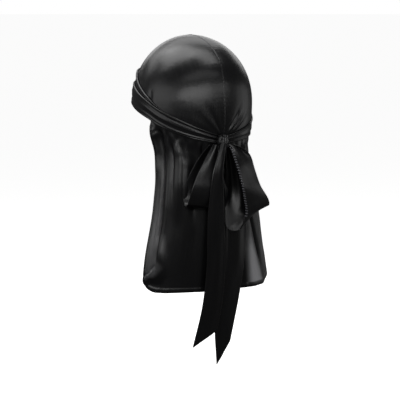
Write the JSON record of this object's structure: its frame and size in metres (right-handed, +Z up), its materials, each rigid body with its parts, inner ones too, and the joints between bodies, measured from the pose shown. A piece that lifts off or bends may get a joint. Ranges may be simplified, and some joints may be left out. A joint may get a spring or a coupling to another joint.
{
  "type": "durag",
  "caption": "Satin durag in its worn form: seamed crown, wrapped forehead band, long neck flap and straps tied in a bow at the nape.",
  "frame": {"origin": "inside of the crown at its top, where the top of the head bears", "axes": "+Z up, -Y towards the forehead, +Y towards the knot at the nape, +X towards the wearer's left"},
  "size_m": [0.1904, 0.2318, 0.4486],
  "materials": {
    "satin": "black satin",
    "seam": "black satin, stitched"
  },
  "bodies": {
    "root": {"crown_left_panel": "satin", "crown_right_panel": "satin", "crown_centre_seam": "seam", "front_hem": "seam", "forehead_band": "satin", "neck_flap": "satin", "knot": "satin", "bow_loop_left": "satin", "bow_loop_right": "satin", "strap_end_left": "satin", "strap_end_right": "satin"}
  },
  "joints": []
}
